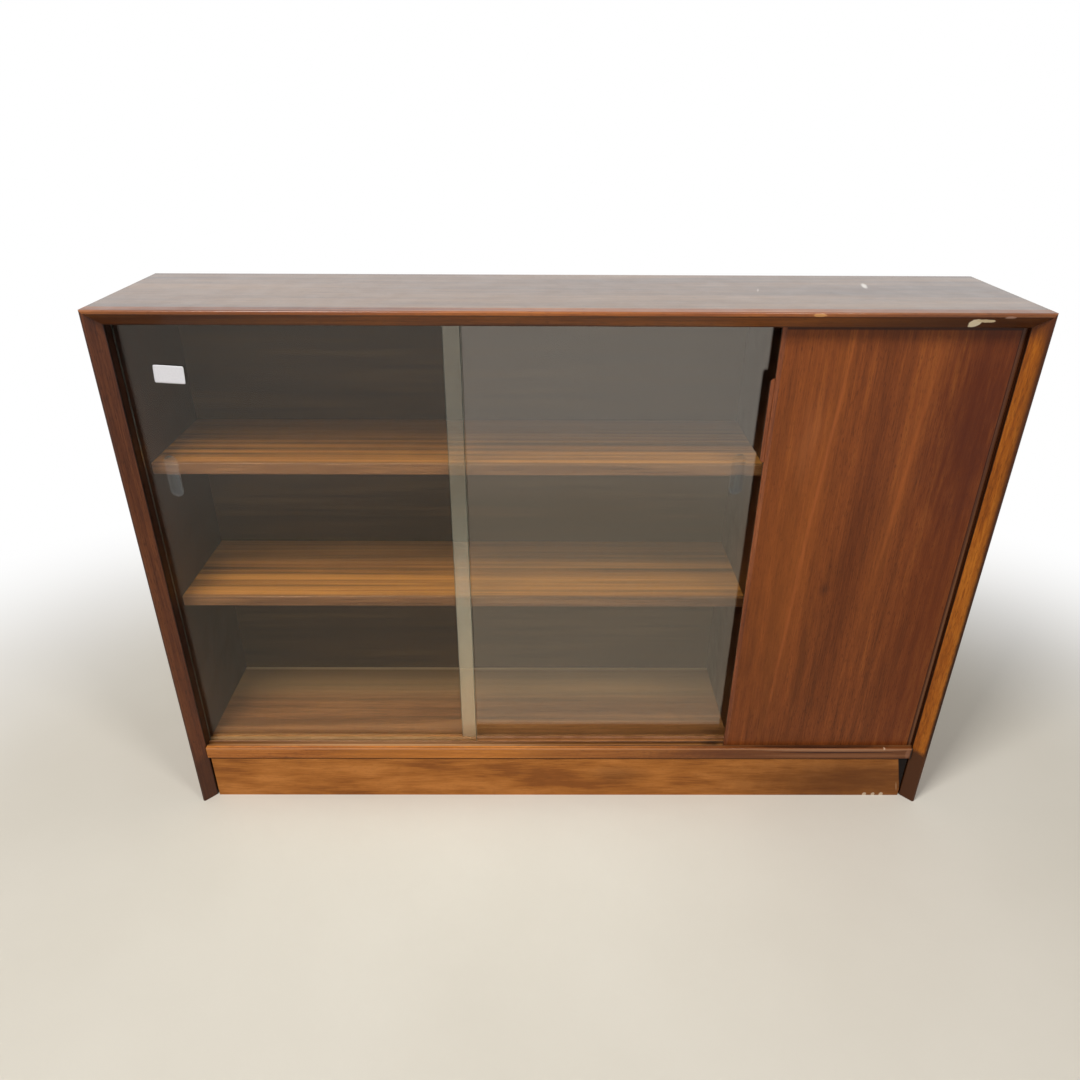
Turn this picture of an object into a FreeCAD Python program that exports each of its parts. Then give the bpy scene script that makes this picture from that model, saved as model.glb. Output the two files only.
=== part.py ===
import FreeCAD, Part
import math
import os

# A low bookcase with three sliding doors: two frameless panes over the long shelved bay and
# one veneered panel over the cupboard bay.  Millimetres, +X right, +Y to the back, +Z up,
# origin on the floor under the middle of the case.

V = FreeCAD.Vector

# ------------------------------------------------------------------ carcass
width = 1220.0               # over both sides
height = 830.0               # floor to the top surface
depth = 240.0                # front nosing to the back of the sides
side_thickness = 20.0
top_thickness = 22.0
bottom_thickness = 22.0
plinth_height = 85.0         # floor to the underside of the bottom board

# ------------------------------------------------------------------ bevelled front lippings
lipping_depth = 20.0         # solid strip glued to the front edges of sides and top
bevel_depth = 16.0           # how far back the inward bevel runs
nose_width = 4.5             # flat left at the very front of a side
outer_arris_radius = 2.5
inner_arris_radius = 0.8

# ------------------------------------------------------------------ bottom board front and plinth
bottom_setback = 12.5        # carcass front to the face of the bottom board
edge_lipping = 6.0           # solid strip on the bottom board, divider and shelves
lipping_arris = 1.0          # eased front arrises of those strips
plinth_step = 2.0            # plinth face behind the bottom board's face
plinth_thickness = 16.0
plinth_end_gap = 4.0         # plinth is cut short of the sides
back_rail_height = 60.0
back_rail_thickness = 16.0
back_rail_inset = 12.0       # back rail in front of the back panel

# ------------------------------------------------------------------ tracks and doors
door_inset = 9.0             # face of the bottom board to the face of the wooden door
door_thickness = 6.0
glass_thickness = 5.0
door_pitch = 10.0            # wooden door to front pane
pane_pitch = 11.5            # front pane to rear pane
running_clearance = 0.4      # door or pane to each wall of its groove
lower_groove_depth = 4.0
upper_groove_depth = 10.0    # deep enough to lift a door out of the lower groove
top_engagement = 5.0         # door or pane in the upper groove
track_wall = 1.2             # outer walls of the moulded glass tracks
track_base = 1.0
end_clearance = 0.5          # closed door to the face it meets
pane_overlap = 24.5
door_lap = 9.5               # wooden door past the left face of the divider
door_lipping = 6.0           # solid strips on the upright edges of the wooden door

# ------------------------------------------------------------------ finger grips
pull_length = 119.0
pull_reach = 6.0
pull_drop = 129.0            # underside of the top to the middle of the pull
pull_end_radius = 5.0
pull_arris_radius = 1.8
pull_hollow_radius = 4.0     # finger hollow down the back of the pull
pull_hollow_depth = 1.4
grip_length = 63.0           # finger grip ground into each pane
grip_width = 19.0
grip_depth = 1.8
grip_drop = 216.0            # underside of the top to the middle of the grip
grip_inset = 38.5            # middle of the grip to the outer edge of its pane

# ------------------------------------------------------------------ divider, shelves and back
cupboard_width = 290.0       # clear width behind the wooden door
divider_thickness = 16.0
divider_gap = 2.0            # rear glass track to the divider
shelf_thickness = 17.0
shelf_end_gap = 1.0
shelf_setback = 1.5          # shelf front behind the divider's front
shelf_back_gap = 1.0
lower_shelf_rise = 273.0     # bottom board to the top of each shelf
upper_shelf_rise = 496.0
cupboard_shelf_rise = 340.0
back_thickness = 4.0
rebate_width = 9.0           # rebate for the back in sides and top
rebate_clearance = 0.3

# ------------------------------------------------------------------ fixings
dowel_radius = 4.0
dowel_in_face = 11.0         # depth of a dowel in the face of a board
dowel_in_end = 20.0          # depth of a dowel in the end of a board
dowel_margin = 32.0          # first dowel from the edge of its joint
side_dowel_count = 3         # bottom board into each side
divider_dowel_count = 2      # divider into the bottom board and into the top
dowel_clearance = 0.1
spline_thickness = 4.0       # loose tongue in the mitred top corners
spline_reach = 5.5           # reach into each board
spline_stop = 25.0           # end of the tongue short of the board's edges
stud_radius = 2.5
stud_pin = 6.5               # pin in its hole
stud_head_radius = 4.5
stud_head = 9.0              # head under the shelf
stud_flat = 2.0              # flat top of the head above the pin's axis
stud_inset = 30.0            # stud from the front and back edges of a shelf
stud_clearance = 0.08
stud_hole_spare = 0.8        # hole deeper than the pin
nail_width = 1.6             # square panel pins
nail_head_width = 3.4
nail_head = 1.4              # tapered head, driven flush
nail_length = 16.0
nail_point = 3.0
nail_point_width = 0.4
nail_pitch = 240.0
nail_margin = 60.0           # first nail from the corner of the back
block_leg = 24.0             # glue block, each short side
block_length = 90.0
block_count = 4
end_block_drop = 6.0         # upright glue blocks short of the floor

# ------------------------------------------------------------------ places worked out from them
front = -depth / 2
back = depth / 2
inner_x = width / 2 - side_thickness
ceiling = height - top_thickness
deck = plinth_height + bottom_thickness
back_face = back - back_thickness
panel_front = front + lipping_depth
bottom_front = front + bottom_setback
plinth_front = bottom_front + plinth_step

door_front = bottom_front + door_inset
door_middle = door_front + door_thickness / 2
front_pane_middle = door_middle + door_pitch
rear_pane_middle = front_pane_middle + pane_pitch
groove_floor = deck - lower_groove_depth
door_foot = groove_floor
door_head = ceiling + top_engagement
track_front = front_pane_middle - glass_thickness / 2 - running_clearance - track_wall
track_back = rear_pane_middle + glass_thickness / 2 + running_clearance + track_wall

divider_front = track_back + divider_gap
divider_right = inner_x - cupboard_width
divider_left = divider_right - divider_thickness
shelf_front = divider_front + shelf_setback
shelf_back = back_face - shelf_back_gap
glass_bay = divider_left + inner_x
pane_width = (glass_bay + pane_overlap - end_clearance) / 2
pull_middle = ceiling - pull_drop
grip_middle = ceiling - grip_drop


def block(x, y, z):
    """A cuboid between the low and high value on each axis."""
    return Part.makeBox(x[1] - x[0], y[1] - y[0], z[1] - z[0], V(x[0], y[0], z[0]))


def about(middle, thickness):
    """The low and high value of a thickness centred on a plane."""
    return (middle - thickness / 2, middle + thickness / 2)


def rounded_face(corners, place):
    """A flat face from corners (a, b, radius), each rounded by its tangent arc.

    place(a, b) turns a corner of the drawing into a point in space."""
    spans = []
    for index, (a, b, radius) in enumerate(corners):
        here = V(a, b, 0)
        to_last = (V(*corners[index - 1][:2], 0) - here).normalize()
        to_next = (V(*corners[(index + 1) % len(corners)][:2], 0) - here).normalize()
        half = to_last.getAngle(to_next) / 2
        trim = radius / math.tan(half)
        inward = (to_last + to_next).normalize()
        crown = here + inward * (radius / math.sin(half) - radius)
        spans.append((here + to_last * trim, crown, here + to_next * trim, radius))
    edges = []
    for index, (start, crown, end, radius) in enumerate(spans):
        if radius > 0:
            arc = Part.Arc(place(start.x, start.y), place(crown.x, crown.y), place(end.x, end.y))
            edges.append(arc.toShape())
        follow = spans[(index + 1) % len(spans)][0]
        edges.append(Part.makeLine(place(end.x, end.y), place(follow.x, follow.y)))
    return Part.Face(Part.Wire(edges))


def prism(corners, place, along):
    """The rounded outline carried straight along a vector."""
    return rounded_face(corners, place).extrude(along)


def rod(start, direction, radius, length):
    return Part.makeCylinder(radius, length, start, direction)


def mirrored(shape):
    """The same shape on the other side of the middle of the case."""
    return shape.mirror(V(0, 0, 0), V(1, 0, 0))


def without(shape, tools):
    """The shape less a list of tools, as one clean solid."""
    return shape.cut(Part.makeCompound(tools)).removeSplitter() if tools else shape


def save(node, *solids):
    """Writes one node: a single solid, or a group of separate ones."""
    shape = solids[0] if len(solids) == 1 else Part.makeCompound(list(solids))
    shape.exportStep("parts/%s.step" % node)


def spread(low, high, count):
    """Evenly spaced values from low to high."""
    return [low + (high - low) * index / (count - 1) for index in range(count)]


os.makedirs("parts", exist_ok=True)


# ------------------------------------------------------------------ fixings and their holes
def dowel_rows(point, direction, y_low, y_high, count):
    """Dowels across one joint and the holes for them.

    point(y) lies on the joint; direction points into the end of the jointed board."""
    dowels = []
    holes = []
    for y in spread(y_low + dowel_margin, y_high - dowel_margin, count):
        start = point(y) - direction * dowel_in_face
        length = dowel_in_face + dowel_in_end
        dowels.append(rod(start, direction, dowel_radius, length))
        hole_start = start - direction * dowel_clearance
        hole_length = length + 2 * dowel_clearance
        holes.append(rod(hole_start, direction, dowel_radius + dowel_clearance, hole_length))
    return dowels, holes


def studs_for(shelf_top, wall_x, inward):
    """Two shelf studs in a wall and the holes that they stand in."""
    axis_z = deck + shelf_top - shelf_thickness - stud_flat
    studs = []
    holes = []
    for y in (shelf_front + stud_inset, shelf_back - stud_inset):
        root = V(wall_x, y, axis_z)
        pin = rod(root - inward * stud_pin, inward, stud_radius, stud_pin)
        head = rod(root, inward, stud_head_radius, stud_head)
        above = block(
            (wall_x - stud_head * 2, wall_x + stud_head * 2),
            (y - stud_head_radius * 2, y + stud_head_radius * 2),
            (axis_z + stud_flat, axis_z + stud_head_radius * 2),
        )
        studs.append(pin.fuse(head.cut(above)).removeSplitter())
        hole_depth = stud_pin + stud_hole_spare
        hole_start = root - inward * hole_depth
        holes.append(rod(hole_start, inward, stud_radius + stud_clearance, hole_depth))
    return studs, holes


def nail(x, z):
    """A square panel pin driven forwards through the back, which also cuts its own hole."""
    sections = []
    for run, side in (
        (0, nail_head_width),
        (nail_head, nail_width),
        (nail_length - nail_point, nail_width),
        (nail_length, nail_point_width),
    ):
        half = side / 2
        corners = [
            V(x + across * half, back - run, z + rise * half)
            for across, rise in ((-1, -1), (1, -1), (1, 1), (-1, 1), (-1, -1))
        ]
        sections.append(Part.makePolygon(corners))
    return Part.makeLoft(sections, True, True)


right = V(1, 0, 0)
left = V(-1, 0, 0)
up = V(0, 0, 1)
down = V(0, 0, -1)
backward = V(0, 1, 0)

floor_line = plinth_height + bottom_thickness / 2
bottom_panel_front = bottom_front + edge_lipping
divider_panel_front = divider_front + edge_lipping
divider_x = (divider_left + divider_right) / 2

side_dowels, side_dowel_holes = dowel_rows(
    lambda y: V(inner_x, y, floor_line), left, bottom_panel_front, back_face, side_dowel_count
)
foot_dowels, foot_dowel_holes = dowel_rows(
    lambda y: V(divider_x, y, deck), up, divider_panel_front, back_face, divider_dowel_count
)
head_dowels, head_dowel_holes = dowel_rows(
    lambda y: V(divider_x, y, ceiling), down, divider_panel_front, back_face, divider_dowel_count
)

upper_left, upper_left_holes = studs_for(upper_shelf_rise, -inner_x, right)
upper_right, upper_right_holes = studs_for(upper_shelf_rise, divider_left, left)
lower_left, lower_left_holes = studs_for(lower_shelf_rise, -inner_x, right)
lower_right, lower_right_holes = studs_for(lower_shelf_rise, divider_left, left)
cupboard_left, cupboard_left_holes = studs_for(cupboard_shelf_rise, divider_right, right)
cupboard_right, cupboard_right_holes = studs_for(cupboard_shelf_rise, inner_x, left)

# The back: nails stand in the middle of the rebates and of the boards behind the panel.
rebate_x = inner_x + rebate_width / 2
rebate_z = ceiling + rebate_width / 2
back_bottom = plinth_height
nails_up = max(2, round((height - back_bottom) / nail_pitch))
nails_across = max(2, round(width / nail_pitch))
side_nail_z = spread(back_bottom + nail_margin, ceiling - nail_margin, nails_up)
row_nail_x = spread(-inner_x + nail_margin, inner_x - nail_margin, nails_across)
nail_places = [(x, z) for x in (-rebate_x, rebate_x) for z in side_nail_z]
nail_places += [(x, z) for z in (floor_line, rebate_z) for x in row_nail_x]
nail_places += [(divider_x, z) for z in side_nail_z]
nails = [nail(x, z) for x, z in nail_places]
save("back_panel_nails", *nails)


# ------------------------------------------------------------------ sides and top, mitred together
def in_front_view(x, z):
    return V(x, front, z)


# Front views of one side and of the top, out to the mitre between outer and inner corner.
side_view = [
    (width / 2, 0, 0),
    (width / 2, height, 0),
    (inner_x, ceiling, 0),
    (inner_x, 0, 0),
]
top_view = [
    (-width / 2, height, 0),
    (width / 2, height, 0),
    (inner_x, ceiling, 0),
    (-inner_x, ceiling, 0),
]
side_solid = prism(side_view, in_front_view, backward * depth)
top_solid = prism(top_view, in_front_view, backward * depth)
behind_lipping = block((-width, width), (panel_front, back), (0, height))

# The tongue in each mitre lies square to the mitre's face, half in either board.
mitre = V(side_thickness, 0, top_thickness).normalize()
across_mitre = V(-mitre.z, 0, mitre.x)
mitre_middle = V(inner_x + side_thickness / 2, 0, ceiling + top_thickness / 2)


def spline(clearance):
    """The loose tongue, or with a clearance the slot that it lies in."""
    reach = spline_reach + clearance
    half = spline_thickness / 2 + clearance
    stop = spline_stop - clearance
    corners = []
    for along, over in ((-half, -reach), (half, -reach), (half, reach), (-half, reach)):
        point = mitre_middle + mitre * along + across_mitre * over
        corners.append((point.x, point.z, 0))
    start = panel_front + stop
    length = back_face - stop - start
    return prism(corners, lambda x, z: V(x, start, z), backward * length)


right_spline_slot = spline(dowel_clearance)
spline_slots = [right_spline_slot, mirrored(right_spline_slot)]
right_spline = spline(0)
save("mitre_splines", right_spline, mirrored(right_spline))

back_rebate = block(
    (-inner_x - rebate_width, inner_x + rebate_width),
    (back_face, back),
    (back_bottom, ceiling + rebate_width),
)
right_side = side_solid.common(behind_lipping).cut(back_rebate)
left_side = mirrored(right_side)
shared_side_holes = side_dowel_holes + spline_slots + nails
mirrored_side_dowels = [mirrored(hole) for hole in side_dowel_holes]
save(
    "right_side_panel",
    without(right_side, shared_side_holes + cupboard_right_holes),
)
save(
    "left_side_panel",
    without(
        left_side,
        mirrored_side_dowels + spline_slots + nails + upper_left_holes + lower_left_holes,
    ),
)


def groove(middle, thickness, z):
    """A straight groove from side to side for a door of this thickness."""
    return block((-inner_x, inner_x), about(middle, thickness + 2 * running_clearance), z)


upper_track_seat = block(
    (-inner_x, inner_x),
    (track_front, track_back),
    (ceiling, ceiling + upper_groove_depth + track_base),
)
door_groove_above = groove(door_middle, door_thickness, (ceiling, ceiling + upper_groove_depth))
top_panel = top_solid.common(behind_lipping).cut(back_rebate)
save(
    "top_panel",
    without(
        top_panel,
        [upper_track_seat, door_groove_above] + spline_slots + head_dowel_holes + nails,
    ),
)


# ------------------------------------------------------------------ bevelled lippings
def bevelled_profile(thickness):
    """Section of a front lipping: (inset from the outer face, distance from the front)."""
    nose = nose_width * thickness / side_thickness
    return [
        (0, 0, outer_arris_radius),
        (nose, 0, inner_arris_radius),
        (thickness, bevel_depth, 0),
        (thickness, lipping_depth, 0),
        (0, lipping_depth, 0),
    ]


side_lipping = prism(
    bevelled_profile(side_thickness),
    lambda inset, run: V(width / 2 - inset, front + run, 0),
    up * height,
)
top_lipping = prism(
    bevelled_profile(top_thickness),
    lambda inset, run: V(-width / 2, front + run, height - inset),
    right * width,
)
right_lipping = side_lipping.common(side_solid)
save("right_front_lipping", right_lipping)
save("left_front_lipping", mirrored(right_lipping))
save("top_front_lipping", top_lipping.common(top_solid))


# ------------------------------------------------------------------ bottom board and its strip
lower_track_seat = block(
    (-inner_x, inner_x),
    (track_front, track_back),
    (groove_floor - track_base, deck),
)
door_groove_below = groove(door_middle, door_thickness, (groove_floor, deck))
bottom_board = block(
    (-inner_x, inner_x), (bottom_panel_front, back_face), (plinth_height, deck)
)
save(
    "bottom_board",
    without(
        bottom_board,
        [lower_track_seat, door_groove_below]
        + side_dowel_holes
        + mirrored_side_dowels
        + foot_dowel_holes
        + nails,
    ),
)


def edge_strip(x, face, underside, thickness):
    """A square solid strip with both front arrises eased, along X."""
    corners = [
        (face, underside, lipping_arris),
        (face + edge_lipping, underside, 0),
        (face + edge_lipping, underside + thickness, 0),
        (face, underside + thickness, lipping_arris),
    ]
    return prism(corners, lambda y, z: V(x[0], y, z), right * (x[1] - x[0]))


save(
    "bottom_board_lipping",
    edge_strip((-inner_x, inner_x), bottom_front, plinth_height, bottom_thickness),
)

# ------------------------------------------------------------------ plinth, back rail, glue blocks
plinth_back = plinth_front + plinth_thickness
plinth_end = inner_x - plinth_end_gap
save(
    "plinth_board",
    block((-plinth_end, plinth_end), (plinth_front, plinth_back), (0, plinth_height)),
)
rail_back = back_face - back_rail_inset
rail_front = rail_back - back_rail_thickness
save(
    "plinth_back_rail",
    block(
        (-inner_x, inner_x),
        (rail_front, rail_back),
        (plinth_height - back_rail_height, plinth_height),
    ),
)


def triangle(corner, leg_one, leg_two, along):
    """A three-cornered glue block: its square corner and its two legs, carried along."""
    wire = Part.makePolygon([corner, corner + leg_one, corner + leg_two, corner])
    return Part.Face(wire).extrude(along)


glue_blocks = []
for x in spread(-inner_x / 1.4, inner_x / 1.4, block_count):
    start = x - block_length / 2
    behind_plinth = V(start, plinth_back, plinth_height)
    before_rail = V(start, rail_front, plinth_height)
    for corner, away in ((behind_plinth, backward), (before_rail, backward * -1)):
        glue_blocks.append(
            triangle(corner, away * block_leg, down * block_leg, right * block_length)
        )
upright = plinth_height - block_leg - 2 * end_block_drop
right_block = triangle(
    V(inner_x, plinth_back, end_block_drop),
    left * (block_leg + plinth_end_gap),
    backward * block_leg,
    up * upright,
)
glue_blocks += [right_block, mirrored(right_block)]
save("plinth_glue_blocks", *glue_blocks)


# ------------------------------------------------------------------ moulded glass tracks
def glass_track(mouth, slot_depth, away):
    """A two-slot channel whose walls end flush at mouth; away points to its base (+1 or -1)."""
    base = mouth + away * slot_depth
    outer = base + away * track_base
    body = block((-inner_x, inner_x), (track_front, track_back), sorted((mouth, outer)))
    slots = [
        groove(middle, glass_thickness, sorted((mouth, base)))
        for middle in (front_pane_middle, rear_pane_middle)
    ]
    return without(body, slots)


save("lower_glass_track", glass_track(deck, lower_groove_depth, -1))
save("upper_glass_track", glass_track(ceiling, upper_groove_depth, 1))

# ------------------------------------------------------------------ divider
divider = block((divider_left, divider_right), (divider_panel_front, back_face), (deck, ceiling))
save(
    "divider_panel",
    without(
        divider,
        foot_dowel_holes
        + head_dowel_holes
        + upper_right_holes
        + lower_right_holes
        + cupboard_left_holes
        + nails,
    ),
)
divider_strip = [
    (divider_left, divider_front, lipping_arris),
    (divider_right, divider_front, lipping_arris),
    (divider_right, divider_panel_front, 0),
    (divider_left, divider_panel_front, 0),
]
save(
    "divider_lipping",
    prism(divider_strip, lambda x, y: V(x, y, deck), up * (ceiling - deck)),
)
save(
    "carcass_dowels",
    *side_dowels,
    *[mirrored(dowel) for dowel in side_dowels],
    *foot_dowels,
    *head_dowels,
)

# ------------------------------------------------------------------ back panel
back_edge = inner_x + rebate_width - rebate_clearance
back_panel = block(
    (-back_edge, back_edge),
    (back_face, back),
    (back_bottom, ceiling + rebate_width - rebate_clearance),
)
save("back_panel", without(back_panel, nails))


# ------------------------------------------------------------------ shelves on their studs
def save_shelf(name, x_low, x_high, rise):
    """A veneered shelf with a solid front strip, lying loose between two walls."""
    x = (x_low + shelf_end_gap, x_high - shelf_end_gap)
    underside = deck + rise - shelf_thickness
    board = block(x, (shelf_front + edge_lipping, shelf_back), (underside, deck + rise))
    save(name, board)
    save(name + "_lipping", edge_strip(x, shelf_front, underside, shelf_thickness))


save_shelf("upper_shelf", -inner_x, divider_left, upper_shelf_rise)
save_shelf("lower_shelf", -inner_x, divider_left, lower_shelf_rise)
save_shelf("cupboard_shelf", divider_right, inner_x, cupboard_shelf_rise)
save("upper_shelf_studs", *upper_left, *upper_right)
save("lower_shelf_studs", *lower_left, *lower_right)
save("cupboard_shelf_studs", *cupboard_left, *cupboard_right)


# ------------------------------------------------------------------ glass doors
def pane(x_left, middle, grip_x):
    """A frameless pane with a finger grip ground into its front face.

    The grip is the path of a round-nosed wheel: a ball carried down a straight line."""
    y = about(middle, glass_thickness)
    glass = block((x_left, x_left + pane_width), y, (door_foot, door_head))
    wheel = (grip_width**2 / 4 + grip_depth**2) / (2 * grip_depth)
    centre_y = y[0] + grip_depth - wheel
    half_run = (grip_length - grip_width) / 2
    low = V(grip_x, centre_y, grip_middle - half_run)
    high = V(grip_x, centre_y, grip_middle + half_run)
    path = rod(low, up, wheel, 2 * half_run)
    ground = path.fuse([Part.makeSphere(wheel, low), Part.makeSphere(wheel, high)])
    return without(glass, [ground])


left_pane_x = -inner_x + end_clearance
right_pane_x = divider_left - pane_width
save("left_glass_pane", pane(left_pane_x, front_pane_middle, left_pane_x + grip_inset))
save("right_glass_pane", pane(right_pane_x, rear_pane_middle, divider_left - grip_inset))

# ------------------------------------------------------------------ wooden door
door_left = divider_left - door_lap
door_right = inner_x - end_clearance
door_y = about(door_middle, door_thickness)
door_z = (door_foot, door_head)
save(
    "wood_door_panel",
    block((door_left + door_lipping, door_right - door_lipping), door_y, door_z),
)


def door_strip(edge, inner):
    """A solid strip on an upright edge of the door, its front arris eased."""
    corners = [
        (edge, door_y[0], lipping_arris),
        (inner, door_y[0], 0),
        (inner, door_y[1], 0),
        (edge, door_y[1], lipping_arris),
    ]
    return prism(corners, lambda x, y: V(x, y, door_foot), up * (door_head - door_foot))


save("wood_door_left_lipping", door_strip(door_left, door_left + door_lipping))
save("wood_door_right_lipping", door_strip(door_right, door_right - door_lipping))

# The pull is a slip of the same wood on the door's edge: its plan has a finger hollow at the
# back, and its front view has rounded ends.
pull_edge = door_left - pull_reach
pull_plan = [
    (door_left, door_y[0] + lipping_arris, 0),
    (door_left, door_y[1] - lipping_arris, 0),
    (pull_edge, door_y[1] - lipping_arris, lipping_arris / 2),
    (pull_edge, door_y[0], pull_arris_radius),
    (door_left - lipping_arris, door_y[0], 0),
]
pull_low = pull_middle - pull_length / 2
pull_high = pull_middle + pull_length / 2
pull_view = [
    (door_left, pull_low, 0),
    (pull_edge, pull_low, pull_end_radius),
    (pull_edge, pull_high, pull_end_radius),
    (door_left, pull_high, 0),
]
pull_bar = prism(pull_plan, lambda x, y: V(x, y, pull_low), up * pull_length)
pull_shape = prism(pull_view, lambda x, z: V(x, door_y[0], z), backward * door_thickness)
hollow_axis = door_y[1] - lipping_arris + pull_hollow_radius - pull_hollow_depth
hollow = rod(
    V(door_left - pull_reach / 2, hollow_axis, pull_low), up, pull_hollow_radius, pull_length
)
save("finger_pull", pull_bar.common(pull_shape).cut(hollow))
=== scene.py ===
import math

import bpy
import numpy as np
from mathutils import Matrix, Vector


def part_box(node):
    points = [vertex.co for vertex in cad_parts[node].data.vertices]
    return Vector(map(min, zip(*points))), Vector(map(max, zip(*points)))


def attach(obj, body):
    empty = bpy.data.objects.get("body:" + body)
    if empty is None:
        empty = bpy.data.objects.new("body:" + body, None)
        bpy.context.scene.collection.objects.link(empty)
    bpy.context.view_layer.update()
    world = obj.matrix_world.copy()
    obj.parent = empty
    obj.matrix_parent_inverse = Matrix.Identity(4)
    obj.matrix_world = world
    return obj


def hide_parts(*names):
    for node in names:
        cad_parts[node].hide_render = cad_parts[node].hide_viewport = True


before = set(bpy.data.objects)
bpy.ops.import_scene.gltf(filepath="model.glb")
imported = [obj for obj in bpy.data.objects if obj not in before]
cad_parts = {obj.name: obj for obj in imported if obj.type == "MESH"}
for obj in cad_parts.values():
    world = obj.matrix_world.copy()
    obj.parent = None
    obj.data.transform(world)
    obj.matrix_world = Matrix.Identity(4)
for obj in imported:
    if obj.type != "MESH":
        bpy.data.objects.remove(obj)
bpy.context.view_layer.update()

# ------------------------------------------------------------------ sides
# The two sides: 20 mm board with sapele veneer on both faces, grain upright, stained red-brown and
# sprayed with a satin cellulose lacquer. They run down to the floor as the case's feet. Their inner
# faces, shut in behind the doors, carry painted shade.


def srgb(code):
    """'#rrggbb' as linear RGBA: each channel c is c / 12.92 when dark, else ((c + 0.055) / 1.055) ** 2.4."""
    parts = [int(code[i:i + 2], 16) / 255 for i in (1, 3, 5)]
    return tuple(c / 12.92 if c <= 0.04045 else ((c + 0.055) / 1.055) ** 2.4 for c in parts) + (1.0,)


def fill(tree, node, inputs):
    """Give a node's inputs, by name or in order, their constants or links."""
    sockets = [s for s in node.inputs if s.enabled]
    for key, value in inputs.items() if isinstance(inputs, dict) else enumerate(inputs):
        socket = sockets[key] if isinstance(key, int) else next(s for s in sockets if s.name == key)
        if isinstance(value, bpy.types.NodeSocket):
            tree.links.new(value, socket)
        else:
            socket.default_value = value


def add(tree, kind, inputs=(), out=0, **settings):
    """Add a node with its settings, which are its own properties, and its inputs; returns one of its outputs."""
    node = tree.nodes.new("ShaderNode" + kind)
    for key, value in settings.items():
        setattr(node, key, value)
    fill(tree, node, inputs)
    return node.outputs[out] if isinstance(out, str) else [s for s in node.outputs if s.enabled][out]


def begin(name):
    """A new material with its node tree and its Principled shader."""
    material = bpy.data.materials.new(name)
    material.use_nodes = True
    return material, material.node_tree, material.node_tree.nodes["Principled BSDF"]


def timber(name, grain, tones, seed, drift=(110, 800), ribbon=(16, 380), fibre=(1.8, 55), weights=(0.4, 0.34, 0.26),
           spread=0.11, wave=7, pores=0.4, sheen=0.36, mottle=0.05, coat=0.12, shine=0.2):
    """Lacquered wood. Three noises stretched along the grain, each (width, length) in mm, are weighed and summed:
    the slow drift of the log, the ribbons of interlocked grain, and the fibres. The sum runs from the first
    tone through the second to the third. Pores are short dark dashes; real ones are 0.2 mm wide and are
    drawn 1 mm wide, so that they show. The grain wanders sideways by wave mm, in bends of about 400 mm.
    The gloss varies by mottle around sheen, in patches of about 36 mm."""
    material, tree, finish = begin(name)
    turn = {"X": (0, 0, 0), "Z": (0, math.pi / 2, 0)}[grain]
    bends, pore_size, patches = (2.6, 11, 11), (1.0, 9), 28.0
    place = add(tree, "TexCoord", out="Object")
    board = add(tree, "Mapping", {"Vector": place, "Location": seed, "Rotation": turn})
    slow = add(tree, "VectorMath", (board, bends), operation="MULTIPLY")
    bend = add(tree, "TexNoise", {"Vector": slow, "Scale": 1.0, "Detail": 1.0}, out="Color")
    bent = add(tree, "VectorMath", (bend, (0, wave / 1000, wave / 1000), board), operation="MULTIPLY_ADD")
    layers = []
    for (wide, long), detail in ((drift, 1.0), (ribbon, 2.0), (fibre, 2.0), (pore_size, 0.0)):
        steps = (1000 / long, 1000 / wide, 1000 / wide)
        stretched = add(tree, "VectorMath", (bent, steps), operation="MULTIPLY")
        layers.append(add(tree, "TexNoise", {"Vector": stretched, "Scale": 1.0, "Detail": detail}))
    total = add(tree, "Math", (layers[0], weights[0]), operation="MULTIPLY")
    for layer, weight in zip(layers[1:3], weights[1:]):
        total = add(tree, "Math", (layer, weight, total), operation="MULTIPLY_ADD")
    dark, mid, light = (srgb(tone) for tone in tones)
    low = add(tree, "MapRange", {"Value": total, "From Min": 0.5 - spread, "From Max": 0.5})
    high = add(tree, "MapRange", {"Value": total, "From Min": 0.5, "From Max": 0.5 + spread})
    colour = add(tree, "Mix", {"Factor": low, "A": dark, "B": mid}, data_type="RGBA")
    colour = add(tree, "Mix", {"Factor": high, "A": colour, "B": light}, data_type="RGBA")
    pore = add(tree, "MapRange", {"Value": layers[3], "From Min": 0.6, "From Max": 0.72, "To Max": pores})
    deep = tuple(0.45 * c for c in dark[:3]) + (1.0,)
    colour = add(tree, "Mix", {"Factor": pore, "A": colour, "B": deep}, data_type="RGBA")
    touched = add(tree, "TexNoise", {"Vector": place, "Scale": patches, "Detail": 3.0})
    rough = add(tree, "MapRange", {"Value": touched, "From Min": 0.3, "From Max": 0.7,
                                   "To Min": sheen - mottle, "To Max": sheen + mottle})
    height = add(tree, "Math", (pore, -1.0, layers[2]), operation="MULTIPLY_ADD")
    relief = add(tree, "Bump", {"Height": height, "Strength": 0.25, "Distance": 0.0004})
    fill(tree, finish, {"Base Color": colour, "Roughness": rough, "Normal": relief, "Coat Weight": coat,
                        "Coat Roughness": 0.14, "Specular IOR Level": shine})
    return material


def dress(material, *nodes):
    """Put one finish on CAD nodes, in every material slot they have."""
    for node in nodes:
        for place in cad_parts[node].material_slots:
            place.material = material


def box_mm(node):
    """The lowest and the highest corner of a CAD node, in mm."""
    return [np.array(corner) * 1000 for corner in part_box(node)]


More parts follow.
